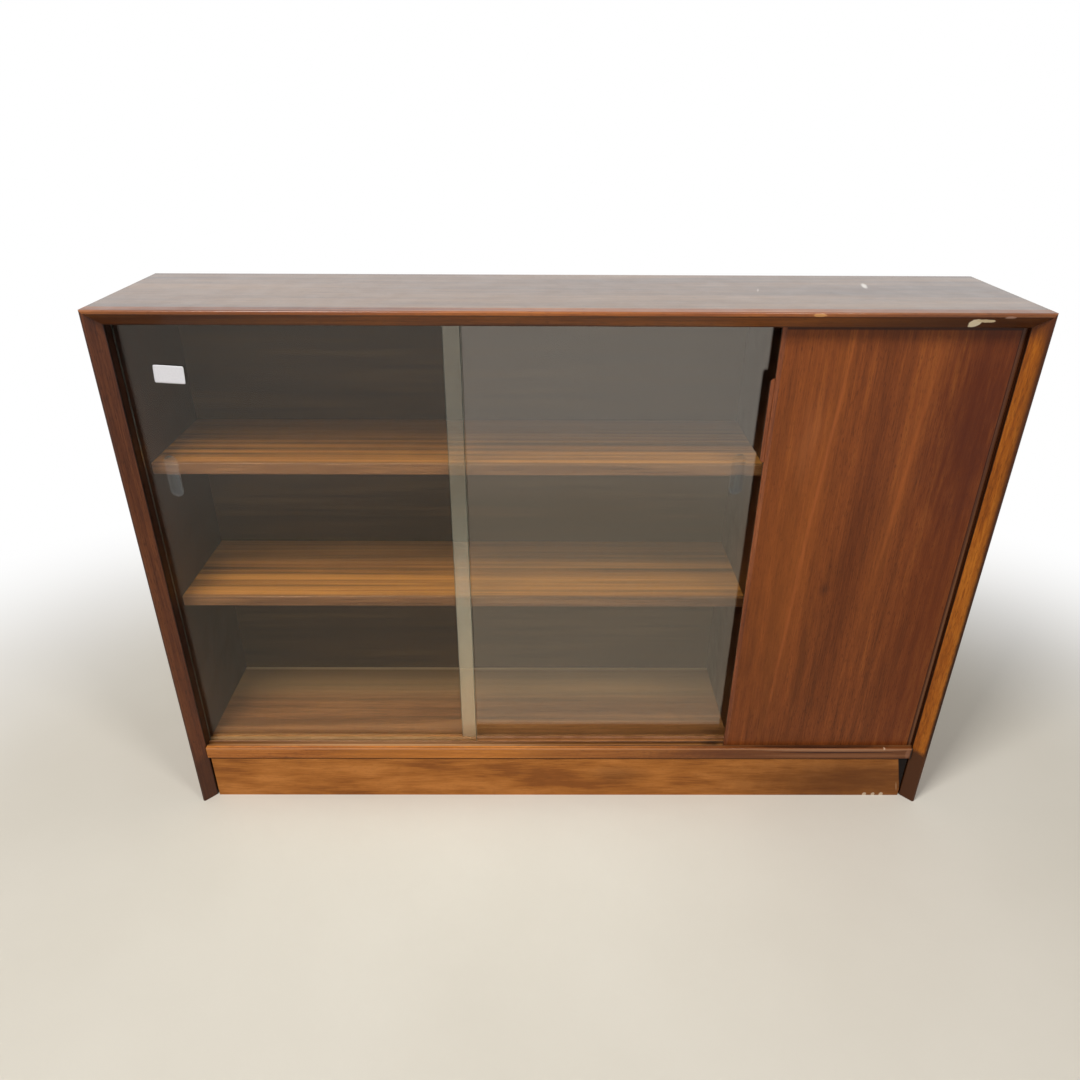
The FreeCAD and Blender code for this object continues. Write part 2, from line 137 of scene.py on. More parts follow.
def patch(material, centre, half, tilt=(0, 0, 0), soft=0.5, ragged=0.0, size=6, most=1.0):
    """A mask around a centre in mm: 1 inside an ellipsoid of the given half sizes and turn in degrees, 0 outside.
    The edge fades over the share soft of the half size, and a noise of size mm (one, or one for each axis)
    makes it ragged."""
    tree = material.node_tree
    place = add(tree, "TexCoord", out="Object")
    near = add(tree, "Mapping", {"Vector": place, "Location": [c / 1000 for c in centre],
                                 "Rotation": [math.radians(t) for t in tilt],
                                 "Scale": [h / 1000 for h in half]}, vector_type="TEXTURE")
    far = add(tree, "VectorMath", (near,), out="Value", operation="LENGTH")
    cells = [1000 / cell for cell in np.broadcast_to(size, 3)]
    cells = add(tree, "VectorMath", (place, cells), operation="MULTIPLY")
    torn = add(tree, "TexNoise", {"Vector": cells, "Scale": 1.0, "Detail": 2.0})
    far = add(tree, "Math", (torn, ragged, far), operation="MULTIPLY_ADD")
    edge = 1 + ragged / 2
    return add(tree, "MapRange", {"Value": far, "From Min": edge - soft, "From Max": edge, "To Min": most,
                                  "To Max": 0.0}, interpolation_type="SMOOTHSTEP")


def mark(material, colour, centre, half, **shape):
    """Lay a colour over a finish inside one patch. Later marks lie over earlier ones."""
    tree = material.node_tree
    base = tree.nodes["Principled BSDF"].inputs["Base Color"]
    mask = patch(material, centre, half, **shape)
    over = add(tree, "Mix", {"Factor": mask, "A": base.links[0].from_socket, "B": srgb(colour)}, data_type="RGBA")
    tree.links.new(over, base)


RUN = 4000  # mm, the half size of a mark that runs past both ends of every piece
SAPELE = ("#4b220f", "#6d3717", "#87491f")
for name, inner, seed, most, tone in (("left", -589, (0.3, 0.2, 0.7), 0.9, "#1f0d06"),
                                      ("right", 589, (1.9, 2.6, 0.4), 0.8, "#2f150c")):
    veneer = timber("lacquered_sapele_veneer_" + name, "Z", SAPELE, seed)
    # Painted shade on the inner face.
    mark(veneer, tone, (inner, 0, 415), (2.5, RUN, RUN), soft=0.05, most=most)
    dress(veneer, name + "_side_panel")

# ------------------------------------------------------------------ top
# The top: the same veneered board, mitred to the sides, with the grain along its length. Years of
# use have left two short pale scratches in the lacquer towards the right end.
top_veneer = timber("lacquered_sapele_veneer_top", "X", ("#40291a", "#5c4028", "#735538"), (0.6, 1.2, 0.1),
                    sheen=0.33, mottle=0.03, coat=0.4, shine=0.5)
top_face = box_mm("top_panel")[1][2]
mark(top_veneer, "#d8d0c6", (424, 45, top_face), (5, 24, 6), tilt=(0, 0, -12), soft=0.7, ragged=0.5, size=7, most=0.8)
mark(top_veneer, "#c9bcae", (265, 13, top_face), (2, 16, 6), tilt=(0, 0, -14), soft=0.8, ragged=0.4, size=5, most=0.35)
dress(top_veneer, "top_panel")

# ------------------------------------------------------------------ front lippings
# Solid sapele strips on the front edges: a rounded nose outside and a wide bevel running in to the
# doors, mitred at the top corners. The right one is paler and golden, as painted light from the left,
# and the left one darker, as painted shade; both have painted shade at their feet, and the right one
# is darker at its mitre. The noses are painted dark as shade, and the top one has lost slivers.
left_lip = timber("lacquered_solid_sapele_left", "Z", ("#3b1c0e", "#552b16", "#6a3a1e"), (0.2, 3.1, 1.4),
                  drift=(60, 500), ribbon=(9, 260))
right_lip = timber("lacquered_solid_sapele_right", "Z", ("#743a0a", "#945010", "#ac651a"), (2.2, 0.3, 3.4),
                   drift=(60, 300), ribbon=(9, 120), fibre=(2.2, 22), coat=0.05, shine=0.16)
top_lip = timber("lacquered_solid_sapele_top", "X", ("#562a11", "#7d4418", "#975a24"), (4.1, 2.3, 0.6),
                 drift=(60, 600), ribbon=(8, 300), coat=0.2, shine=0.3)

# On both uprights: painted shade on the edge beside the doors, the corner line where the bevel ends, and
# painted shade on the nose.
for lip, side, line, nose, dust_and_nose_shade in ((left_lip, -1, 1.8, 4.5, 0.55), (right_lip, 1, 1.1, 7.5, 0.95)):
    mark(lip, "#2a1209", (side * 588.5, -97.5, 440), (2, 7, RUN), soft=0.3, most=0.85)
    mark(lip, "#160702", (side * 590, -102, 440), (line, 3.4, RUN), soft=0.3, most=0.95)
    mark(lip, "#220e06", (side * 610, -119, 440), (nose, 12, RUN), ragged=0.2, size=9, most=dust_and_nose_shade)
# Darker towards the top and at the mitre, and painted shade at both feet.
mark(right_lip, "#52290a", (607, -116, 720), (10, 10, 560), soft=0.9, most=0.7)
mark(right_lip, "#4c240e", (603, -112, 826), (40, 40, 46), soft=0.8, most=0.8)
mark(right_lip, "#492812", (600, -106.5, 33), (60, 80, 77), soft=0.16, ragged=0.1)
mark(left_lip, "#3a1d0e", (-600, -106.5, 30), (30, 40, 72), soft=0.3, ragged=0.2, most=0.6)

# On the top one: the arris, rubbed and with a painted highlight, both darker ends, the line under the
# arris, and painted shade along the bevel's inner edge.
mark(top_lip, "#a0561e", (0, -120, 827.5), (RUN, 4, 3.6), most=0.25)
mark(top_lip, "#2f1206", (-520, -112, 815), (350, 30, 30), soft=0.9, most=0.6)
mark(top_lip, "#2f1206", (530, -112, 815), (350, 30, 30), soft=0.9, most=0.8)
mark(top_lip, "#3a180a", (0, -118.6, 823.8), (RUN, 3, 1.7), soft=0.7, most=0.55)
mark(top_lip, "#2a1209", (0, -103.5, 806), (RUN, 6, 6), soft=0.6, most=0.7)

# The slivers have bared pale wood: two that join, and two shallow ones that keep some stain.
for centre, half, lean, most, tone in (((512, -111, 816), (8.5, 15, 8), -30, 1.0, "#fff2d4"),
                                      ((524, -114, 819.2), (14, 15, 2.6), 3, 0.95, "#f6e4c0"),
                                      ((551, -119, 824.3), (8, 12, 1.8), 0, 0.8, "#b08a78"),
                                      ((312.5, -119.5, 826.7), (9, 8, 2.4), 0, 0.75, "#c08a50")):
    mark(top_lip, tone, centre, half, tilt=(0, lean, 0), soft=0.22, ragged=0.5, size=5, most=most)
dress(left_lip, "left_front_lipping")
dress(right_lip, "right_front_lipping")
dress(top_lip, "top_front_lipping")

# ------------------------------------------------------------------ bottom board
# The bottom board is the floor of both bays, veneered with the grain along it, dull with dust and
# paler along the back. Its solid front strip stands proud of the plinth, with a rubbed arris that
# carries a painted highlight, and a groove for the wooden door behind it, with painted light on its bottom.
deck_veneer = timber("lacquered_sapele_veneer_deck", "X", ("#4a2c17", "#6a4223", "#845834"), (3.3, 0.7, 2.1),
                     drift=(70, 900), ribbon=(9, 600), sheen=0.42)
rail_wood = timber("lacquered_solid_sapele_rail", "X", ("#7f4617", "#a05d22", "#ba7433"), (1.4, 2.9, 0.2),
                   drift=(40, 300), ribbon=(6, 160))
rail_face = box_mm("bottom_board_lipping")[0][1]

# On the strip, by centre and half sizes in mm: a golden stretch on the left as painted light, a darker
# one on the right as painted shade, and a darker one in the middle; painted shade on the top edge and
# the arris paler, rubbed and with a painted highlight; under the wooden door its shadow, two paler
# rubbed bands with a dark line between them, and two knocks; last painted shade in the joint at the
# right end.
for centre, half, most, tone in (((-190, -106, 96), (260, 40, 40), 0.4, "#c47a2c"),
                                 ((520, -106, 96), (480, 40, 40), 0.85, "#5a3018"),
                                 ((60, -106, 96), (170, 40, 40), 0.35, "#7c4a20"),
                                 ((0, -105.4, 107.2), (RUN, 1.6, 1.2), 0.6, "#6e3a16"),
                                 ((0, -107.4, 105.2), (RUN, 2, 1.8), 0.6, "#b07a52"),
                                 ((435, -101.6, 107.4), (162, 6, 1.6), 0.95, "#2a120a"),
                                 ((460, rail_face, 103.4), (150, 4, 3.2), 0.6, "#a3785a"),
                                 ((470, rail_face, 91.6), (170, 4, 4.6), 0.5, "#8c5c3a"),
                                 ((462, rail_face, 98.7), (132, 3, 1.4), 0.95, "#2a120a"),
                                 ((583, rail_face, 96), (5, 8, 12), 0.3, "#a8785c"),
                                 ((542, -107, 106), (2, 5, 2.6), 0.7, "#cfae90"),
                                 ((591, rail_face, 96), (4.2, 12, RUN), 0.95, "#1a0a06")):
    mark(rail_wood, tone, centre, half, ragged=0.25, size=9, most=most)

# On the floor: darker towards the front, painted light on the bottom of the groove, dust and painted
# sheen along its left part, the paler back and the line along it, the wooden door's shadow, and a
# dark spot at the foot of the divider.
floor_top = box_mm("bottom_board")[1][2]
for centre, half, soft, most, tone in (((0, -72, floor_top), (RUN, 18, 9), 0.9, 0.6, "#3f2008"),
                                       ((0, -95.5, 104), (RUN, 4.2, 4.4), 0.2, 0.9, "#86582c"),
                                       ((-290, -97, 105), (420, 8, 5), 0.6, 0.6, "#c49a70"),
                                       ((-150, 90, floor_top), (RUN, 90, 4), 1.0, 0.6, "#a07c54"),
                                       ((-150, 115, floor_top), (RUN, 9, 4), 0.8, 0.85, "#c4a27c"),
                                       ((435, -98, floor_top), (162, 3, 2), 0.4, 0.9, "#2a120a")):
    mark(deck_veneer, tone, centre, half, soft=soft, most=most)
mark(deck_veneer, "#2c190e", (256, -94, 106), (24, 9, 7), soft=0.9, ragged=0.6, size=7, most=0.85)
dress(deck_veneer, "bottom_board")
dress(rail_wood, "bottom_board_lipping")

# ------------------------------------------------------------------ plinth
# The plinth board is set back under the front strip, glued and blocked from behind. Its foot is
# chipped, and its right end is a little short and out of square, which leaves a gap, painted in as dark
# shade. The strip's shadow is painted along its top, with painted shade towards its right end. The rail
# and the glue blocks behind it are plain planed deal.
plinth_wood = timber("lacquered_plinth_sapele", "X", ("#854d1e", "#a26328", "#b67437"), (0.9, 4.4, 1.8),
                     drift=(34, 110), ribbon=(12, 80), fibre=(2.0, 30), wave=14, pores=0.2,
                     coat=0.05, shine=0.12)
plinth_face = box_mm("plinth_board")[0][1]
through = 12  # mm that the marks reach into the board
mark(plinth_wood, "#5a3418", (98, plinth_face, 46), (70, through, 30), soft=0.9, ragged=0.4, size=22, most=0.45)
# Painted shade towards the right end, and the front strip's painted shadow along the top.
mark(plinth_wood, "#5a3010", (496, plinth_face, 35), (330, through, 90), soft=1.0, ragged=0.3, size=22, most=0.8)
mark(plinth_wood, "#3a1c08", (0, plinth_face, 85.5), (RUN, through, 4.6), ragged=0.1, most=0.85)
for chip in (528, 543, 557):
    mark(plinth_wood, "#cdb79c", (chip, plinth_face, 2.5), (4, through, 4), tilt=(0, 20, 0), soft=0.3, ragged=0.9,
         size=4, most=0.85)
sawn = (0, -12.7, 0)  # the right end leans out of square
mark(plinth_wood, "#b08a66", (580, plinth_face, 20), (1.6, through, 13), tilt=sawn, soft=0.6, most=0.5)
# The gap at the right end, painted in as dark shade.
mark(plinth_wood, "#0c0302", (604.3, plinth_face, 66.6), (30, through, RUN), tilt=sawn, soft=0.06)
deal = timber("planed_deal", "X", ("#b58a55", "#cda671", "#dcbb88"), (2.5, 1.9, 0.3), drift=(40, 700),
              ribbon=(7, 500), pores=0.05, sheen=0.68, coat=0.0)
dress(plinth_wood, "plinth_board")
dress(deal, "plinth_back_rail", "plinth_glue_blocks")

# ------------------------------------------------------------------ glass tracks
# Extruded brown plastic channels let into the bottom board and the top: two slots for the panes, the
# upper pair twice as deep so that a pane can be lifted out. Extruding leaves fine lines along them. The
# lower one has painted light in its slots, and dust with painted sheen towards the left.
track, tree, finish = begin("extruded_brown_plastic")
place = add(tree, "TexCoord", out="Object")
drawn = add(tree, "VectorMath", (place, (1.5, 900, 900)), operation="MULTIPLY")  # lines 1.1 mm wide
lines = add(tree, "TexNoise", {"Vector": drawn, "Scale": 1.0, "Detail": 2.0})
dust = add(tree, "TexNoise", {"Vector": place, "Scale": 60.0, "Detail": 4.0})  # flecks of up to 17 mm
dust_and_nose_shade = add(tree, "MapRange", {"Value": dust, "From Min": 0.35, "From Max": 0.7})
tone = add(tree, "Mix", {"Factor": dust_and_nose_shade, "A": srgb("#6b3f1d"), "B": srgb("#835330")}, data_type="RGBA")
rough = add(tree, "MapRange", {"Value": dust_and_nose_shade, "To Min": 0.34, "To Max": 0.52})
relief = add(tree, "Bump", {"Height": lines, "Strength": 0.2, "Distance": 0.0002})
fill(tree, finish, {"Base Color": tone, "Roughness": rough, "Normal": relief})
# Painted light in the lower slots, dust with painted sheen to the left, and a dark spot.
mark(track, "#c48c50", (0, -80, 100), (RUN, 40, 6.6), soft=0.06, most=0.4)
mark(track, "#a88a68", (-420, -80, floor_top), (420, 40, 4), soft=0.7, most=0.35)
mark(track, "#2c190e", (258, -88, 106), (26, 9, 7), soft=0.9, ragged=0.6, size=7, most=0.8)
dress(track, "lower_glass_track", "upper_glass_track")

# ------------------------------------------------------------------ divider
# The upright board between the glass bay and the cupboard, with a thin solid strip on its front edge.
# Both are stained dark and painted darker, nearly black-brown, as painted shade from the wooden door.
divider_veneer = timber("lacquered_sapele_veneer_divider", "Z", ("#1f0f08", "#2b160c", "#382013"), (5.2, 0.9, 3.3))
strip_wood = timber("lacquered_solid_sapele_strip", "Z", ("#1a0b06", "#28130a", "#351b0e"), (0.8, 5.1, 2.2),
                    drift=(40, 400), ribbon=(6, 200))
dress(divider_veneer, "divider_panel")
dress(strip_wood, "divider_lipping")

# ------------------------------------------------------------------ dowels and tongues
# Beech dowels hold the boards, and beech tongues run in the two mitres. Only their ends show, raw
# and dry, with beech's short dark flecks.
beech = timber("raw_beech", "X", ("#b08455", "#c99e6c", "#d8b182"), (0.4, 0.8, 5.5), drift=(30, 300), ribbon=(4, 60),
               pores=0.3, sheen=0.7, coat=0.0)
dress(beech, "carcass_dowels", "mitre_splines")

# ------------------------------------------------------------------ back panel
# A 4 mm birch plywood sheet in a rebate, stained to match inside and left raw behind, where the peeled
# veneer shows soft clouds. Square steel panel pins, dull and touched with rust, hold it every 270 to
# 300 mm.
back_ply = timber("stained_birch_plywood", "X", ("#291a0d", "#362312", "#463019"), (2.8, 3.6, 4.9), drift=(90, 700),
                  ribbon=(14, 300), fibre=(7, 160), pores=0.0, sheen=0.55, coat=0.05)
raw_side = patch(back_ply, (0, 121, 415), (RUN, 2.2, RUN), soft=0.05)
tree = back_ply.node_tree
place = add(tree, "TexCoord", out="Object")
peeled = add(tree, "VectorMath", (place, (1.6, 9, 24)), operation="MULTIPLY")  # clouds 620 x 42 mm
cloud = add(tree, "TexNoise", {"Vector": peeled, "Scale": 1.0, "Detail": 4.0, "Distortion": 1.2})
rays = add(tree, "VectorMath", (place, (14, 500, 420)), operation="MULTIPLY")  # fibres 71 x 2.4 mm
hair = add(tree, "TexNoise", {"Vector": rays, "Scale": 1.0, "Detail": 2.0})
cloud = add(tree, "Math", (hair, 0.35, cloud), operation="MULTIPLY_ADD")
cloud = add(tree, "MapRange", {"Value": cloud, "From Min": 0.5, "From Max": 0.85})
raw = add(tree, "Mix", {"Factor": cloud, "A": srgb("#a98458"), "B": srgb("#cfae80")}, data_type="RGBA")
base = tree.nodes["Principled BSDF"].inputs["Base Color"]
two_sided = add(tree, "Mix", {"Factor": raw_side, "A": base.links[0].from_socket, "B": raw}, data_type="RGBA")
tree.links.new(two_sided, base)
pins, tree, finish = begin("drawn_steel_wire_pin")
place = add(tree, "TexCoord", out="Object")
spots = add(tree, "TexNoise", {"Vector": place, "Scale": 700.0, "Detail": 3.0})  # rust spots of 1.4 mm
rust = add(tree, "MapRange", {"Value": spots, "From Min": 0.52, "From Max": 0.66})
tone = add(tree, "Mix", {"Factor": rust, "A": srgb("#9a9690"), "B": srgb("#7a5238")}, data_type="RGBA")
rough = add(tree, "MapRange", {"Value": rust, "To Min": 0.38, "To Max": 0.8})
fill(tree, finish, {"Base Color": tone, "Metallic": 1.0, "Roughness": rough})
dress(back_ply, "back_panel")
dress(pins, "back_panel_nails")

# ------------------------------------------------------------------ shelves
# Three 17 mm shelves in a golden quarter-cut veneer with dark stripes, paler towards the back, each
# with a solid front strip. Turned brass studs in the sides and the divider carry them.
SHELF = ("#3a200e", "#7a4c22", "#9c662e")
for number, name in enumerate(("upper_shelf", "lower_shelf", "cupboard_shelf")):
    veneer = timber("lacquered_striped_veneer_" + name, "X", SHELF, (0.35 + 1.7 * number, 0.52, 0.8 * number),
                    drift=(60, 1200), ribbon=(11, 1500), fibre=(2.0, 160), weights=(0.2, 0.55, 0.25), wave=3,
                    spread=0.12, pores=0.15, sheen=0.42)
    mark(veneer, "#a8764c", (0, 116, 450), (RUN, 120, RUN), soft=1.0, most=0.45)
    edge = timber("lacquered_edge_strip_" + name, "X", ("#462813", "#613c20", "#764e2e"), (0.9, 1.1 * number, 0.3),
                  drift=(30, 400), ribbon=(4, 200), pores=0.2, sheen=0.42)
    dress(veneer, name)
    dress(edge, name + "_lipping")
brass, tree, finish = begin("turned_brass")
place = add(tree, "TexCoord", out="Object")
turned = add(tree, "VectorMath", (place, (4000, 60, 60)), operation="MULTIPLY")  # lathe lines 0.25 mm apart
rings = add(tree, "TexNoise", {"Vector": turned, "Scale": 1.0, "Detail": 1.0})
stain = add(tree, "TexNoise", {"Vector": place, "Scale": 350.0, "Detail": 2.0})  # tarnish spots of 3 mm
tone = add(tree, "Mix", {"Factor": stain, "A": srgb("#8c6a30"), "B": srgb("#c9a355")}, data_type="RGBA")
rough = add(tree, "MapRange", {"Value": stain, "To Min": 0.22, "To Max": 0.42})
relief = add(tree, "Bump", {"Height": rings, "Strength": 0.3, "Distance": 0.0001})
fill(tree, finish, {"Base Color": tone, "Metallic": 1.0, "Roughness": rough, "Normal": relief})
dress(brass, "upper_shelf_studs", "lower_shelf_studs", "cupboard_shelf_studs")

# ------------------------------------------------------------------ glass panes
# Two frameless float glass panes with ground edges. Near its outer edge each has a finger grip that
# a ball-shaped wheel ground into the front face, 63 x 19 mm and 1.8 mm deep. Dust clings to the rear
# pane where the front one covers it, more towards the foot.
GRIP = {"half_width": 9.5, "depth": 1.8, "half_run": 22.0, "height": 592.0, "inset": 38.5}
CLEAR, EDGE, HOLLOW = range(3)  # the finishes of a pane, in the order of its material slots
GLASS = "#f5f6f0"
OVERLAP = 24.4  # mm of the rear pane that the front one covers


def stand(name, data):
    """A new object in the scene."""
    piece = bpy.data.objects.new(name, data)
    bpy.context.scene.collection.objects.link(piece)
    return piece


def pane(name, low, high, grip_x, arris=0.6, curved=15, straight=7):
    """Closed rings of points, each joined to the next. In the grip, ring k keeps the distance r from the wheel's
    path, a line of 2 half_run, and its depth is sqrt(R^2 - r^2) - (R - depth) for a wheel of radius R. From the
    rim, spokes run away from the grip's middle to the pane's outline. Two more rings give the ground edges
    and arrises, and the last closes the back. A ring has curved points round each end of the grip and
    straight ones down each side. All in mm."""
    arc = np.linspace(0, np.pi, curved)
    side = np.linspace(1, -1, straight + 2)[1:-1] * GRIP["half_run"]
    ends, sides = np.ones(curved), np.ones(straight)
    path_z = np.concatenate([GRIP["half_run"] * ends, side, -GRIP["half_run"] * ends, -side])
    out_x = np.concatenate([np.cos(arc), -sides, -np.cos(arc), sides])
    out_z = np.concatenate([np.sin(arc), 0 * sides, -np.sin(arc), 0 * sides])
    radius = (GRIP["half_width"] ** 2 + GRIP["depth"] ** 2) / (2 * GRIP["depth"])
    rings = []
    for r in np.linspace(0.04, 1, 8) * GRIP["half_width"]:
        depth = math.sqrt(radius ** 2 - r ** 2) - (radius - GRIP["depth"])
        y = np.full(len(out_x), low[1] + depth)
        rings.append(np.stack([grip_x + r * out_x, y, GRIP["height"] + path_z + r * out_z], 1))
    ground_rings = len(rings) - 1
    spoke = rings[-1][:, (0, 2)] - (grip_x, GRIP["height"])
    for y, inset in ((low[1], arris), (low[1] + arris, 0), (high[1] - arris, 0), (high[1], arris)):
        lowest = np.array([low[0] + inset - grip_x, low[2] + inset - GRIP["height"]])
        highest = np.array([high[0] - inset - grip_x, high[2] - inset - GRIP["height"]])
        with np.errstate(divide="ignore", invalid="ignore"):
            reach = np.where(spoke > 0, highest / spoke, lowest / spoke)
        reach[~np.isfinite(reach)] = np.inf
        outline = spoke * reach.min(1)[:, None]
        for corner in (tuple(lowest), (lowest[0], highest[1]), (highest[0], lowest[1]), tuple(highest)):
            turn = np.abs(np.angle(np.exp(1j * (np.arctan2(spoke[:, 1], spoke[:, 0])
                                                - math.atan2(corner[1], corner[0])))))
            outline[turn.argmin()] = corner
        rings.append(np.stack([grip_x + outline[:, 0], np.full(len(outline), y), GRIP["height"] + outline[:, 1]], 1))
    count = len(out_x)
    step = np.arange(count)
    after = (step + 1) % count
    faces = [tuple(step)]
    for k in range(len(rings) - 1):
        faces += list(zip(k * count + step, (k + 1) * count + step, (k + 1) * count + after, k * count + after))
    faces.append(tuple((len(rings) - 1) * count + step[::-1]))
    mesh = bpy.data.meshes.new(name)
    mesh.from_pydata((np.concatenate(rings) / 1000).tolist(), [], [[int(i) for i in face] for face in faces])
    bands = [HOLLOW] * ground_rings + [CLEAR] + [EDGE] * 3
    mesh.polygons.foreach_set("material_index", [HOLLOW] + [s for s in bands for _ in range(count)] + [CLEAR])
    mesh.shade_smooth()
    mesh.set_sharp_from_angle(angle=math.radians(15))
    return stand(name, mesh)


def float_glass(name, gloss):
    """Polished glass. Light from the lamps goes straight through to the shelves. Each pane mirrors the room as
    strongly as gloss, its index of refraction, makes it: the front pane less than real glass, the rear more."""
    material, tree, finish = begin(name)
    fill(tree, finish, {"Base Color": srgb(GLASS), "Roughness": 0.0, "IOR": gloss,
                        "Specular Tint": (1.0, 0.89, 0.78, 1.0), "Transmission Weight": 1.0})
    lamp = add(tree, "LightPath", out="Is Shadow Ray")
    through = add(tree, "BsdfTransparent", {"Color": srgb("#f4f8f4")})
    both = add(tree, "MixShader", (lamp, finish.outputs["BSDF"], through))
    tree.links.new(both, tree.nodes["Material Output"].inputs["Surface"])
    return material


# The ground edges look into the thickness of the glass, so they show dark green-grey.
ground_edge, tree, finish = begin("ground_glass_edge")
place = add(tree, "TexCoord", out="Object")
grit = add(tree, "TexNoise", {"Vector": place, "Scale": 900.0, "Detail": 2.0})  # 1.1 mm, coarse enough to show
tone = add(tree, "Mix", {"Factor": grit, "A": srgb("#262e28"), "B": srgb("#414c44")}, data_type="RGBA")
rough = add(tree, "MapRange", {"Value": grit, "To Min": 0.2, "To Max": 0.4})
fill(tree, finish, {"Base Color": tone, "Roughness": rough, "IOR": 1.25, "Transmission Weight": 0.8})

# The grips were polished again after grinding, with the wheel's marks running up and down.
ground_grip, tree, finish = begin("wheel_ground_glass")
place = add(tree, "TexCoord", out="Object")
wheel = add(tree, "VectorMath", (place, (900, 900, 90)), operation="MULTIPLY")  # marks 1.1 x 11 mm
marks = add(tree, "TexNoise", {"Vector": wheel, "Scale": 1.0, "Detail": 2.0})
tone = add(tree, "Mix", {"Factor": marks, "A": srgb("#e3eae4"), "B": srgb("#f2f6f2")}, data_type="RGBA")
rough = add(tree, "MapRange", {"Value": marks, "To Min": 0.06, "To Max": 0.16})
fill(tree, finish, {"Base Color": tone, "Roughness": rough, "IOR": 1.52, "Transmission Weight": 0.97})

for side, gloss in (("left", 1.35), ("right", 1.75)):
    low, high = box_mm(side + "_glass_pane")
    grip_x = low[0] + GRIP["inset"] if side == "left" else high[0] - GRIP["inset"]
    glass = pane(side + "_sliding_glass", low, high, grip_x)
    clear = float_glass("clear_float_glass_" + side, gloss)
    if side == "right":
        tree = clear.node_tree
        strip = patch(clear, (low[0] + OVERLAP / 2, low[1], 400), (OVERLAP / 2, 20, RUN), soft=0.05)
        foot = patch(clear, (low[0], low[1], 100), (RUN, RUN, 540), soft=1.0)
        dust = add(tree, "Math", (strip, foot), operation="MULTIPLY")
        tone = add(tree, "Mix", {"Factor": dust, "A": srgb(GLASS), "B": srgb("#dcc0a0")}, data_type="RGBA")
        haze = add(tree, "MapRange", {"Value": dust, "To Min": 1.0, "To Max": 0.72})
        fill(tree, tree.nodes["Principled BSDF"], {"Base Color": tone, "Transmission Weight": haze})
    for material in (clear, ground_edge, ground_grip):
        glass.data.materials.append(material)
    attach(glass, side + "_glass_door")
    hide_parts(side + "_glass_pane")

# ------------------------------------------------------------------ paper label
# A blank white paper label stuck on the front pane by hand, a little crooked, its lower right corner
# beginning to lift.
LABEL = {"width": 40.5, "height": 24.4, "centre": (-527.5, 738.7), "tilt": -3.4, "thick": 0.12, "lift": 0.5}
u, v = np.meshgrid(np.linspace(-1, 1, 25), np.linspace(-1, 1, 17))
draw_in = 1 - 0.035 * np.abs(u * v) ** 8
flat_x = u * draw_in * LABEL["width"] / 2
flat_z = v * draw_in * LABEL["height"] / 2
lean = math.radians(LABEL["tilt"])
x = LABEL["centre"][0] + flat_x * math.cos(lean) - flat_z * math.sin(lean)
z = LABEL["centre"][1] + flat_x * math.sin(lean) + flat_z * math.cos(lean)
front = box_mm("left_glass_pane")[0][1]
y = front - LABEL["thick"] - LABEL["lift"] * np.clip(u - v - 1.3, 0, None) ** 2
points = np.stack([x.ravel(), y.ravel(), z.ravel()], 1) / 1000
grid = np.arange(u.size).reshape(u.shape)
quads = np.stack([grid[:-1, :-1], grid[:-1, 1:], grid[1:, 1:], grid[1:, :-1]], -1).reshape(-1, 4)
mesh = bpy.data.meshes.new("paper_label")
mesh.from_pydata(points.tolist(), [], quads.tolist())
mesh.shade_smooth()
label = stand("paper_label", mesh)
wall = label.modifiers.new("paper", "SOLIDIFY")
wall.thickness = LABEL["thick"] / 1000
wall.offset = -1.0
paper, tree, finish = begin("coated_label_paper")
place = add(tree, "TexCoord", out="Object")
pulp = add(tree, "TexNoise", {"Vector": place, "Scale": 420.0, "Detail": 4.0})  # 2.4 mm, coarse enough to show
tone = add(tree, "Mix", {"Factor": pulp, "A": srgb("#c8c6ca"), "B": srgb("#dad9dc")}, data_type="RGBA")
rough = add(tree, "MapRange", {"Value": pulp, "To Min": 0.45, "To Max": 0.6})
relief = add(tree, "Bump", {"Height": pulp, "Strength": 0.1, "Distance": 0.0001})
fill(tree, finish, {"Base Color": tone, "Roughness": rough, "Normal": relief})
mesh.materials.append(paper)
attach(label, "left_glass_door")

# ------------------------------------------------------------------ wooden door
# A 6 mm veneered panel in a groove of its own, with a thin solid strip on each upright edge and a
# rounded finger pull glued to the left one. Two bright ribbons run up the veneer, leaning inwards.
door_veneer = timber("lacquered_sapele_veneer_door", "Z", ("#5e2f13", "#7a3e1a", "#935222"), (1.1, 0.6, 2.3),
                     drift=(120, 900), ribbon=(13, 300), fibre=(1.8, 45), weights=(0.36, 0.37, 0.27), spread=0.14,
                     coat=0.06, shine=0.14)
door_face = box_mm("wood_door_panel")[0][1]

# Ribbons and stains, by the x and z of their middle, half width and half height in mm, and lean in
# degrees: the left ribbon, the right one, a pale stain, darker wood and painted shade to the right, and a knot.
for x, z, wide, tall, lean, most, tone in ((325, 430, 90, 520, 0.0, 0.3, "#96531f"),
                                           (352, 560, 22, 480, 3.2, 0.25, "#985422"),
                                           (359, 620, 4, 300, 3.6, 0.5, "#a0562a"),
                                           (345, 330, 4, 260, 2.6, 0.4, "#a0562a"),
                                           (472, 580, 22, 380, 3.4, 0.22, "#985422"),
                                           (474, 600, 6, 300, 3.4, 0.55, "#9a5224"),
                                           (332, 650, 24, 90, 3.0, 0.35, "#9c5a30"),
                                           (424, 520, 24, 460, 1.0, 0.4, "#54250e"),
                                           (560, 460, 80, 900, 0.0, 0.65, "#582409"),
                                           (545, 690, 85, 260, 0.0, 0.7, "#4a1a06"),
                                           (393, 414, 14, 20, 0.0, 0.5, "#3c2013")):
    mark(door_veneer, tone, (x, door_face, z), (wide, 9, tall), tilt=(0, lean, 0), soft=1.0, ragged=0.9,
         size=(7, 7, 50), most=most)

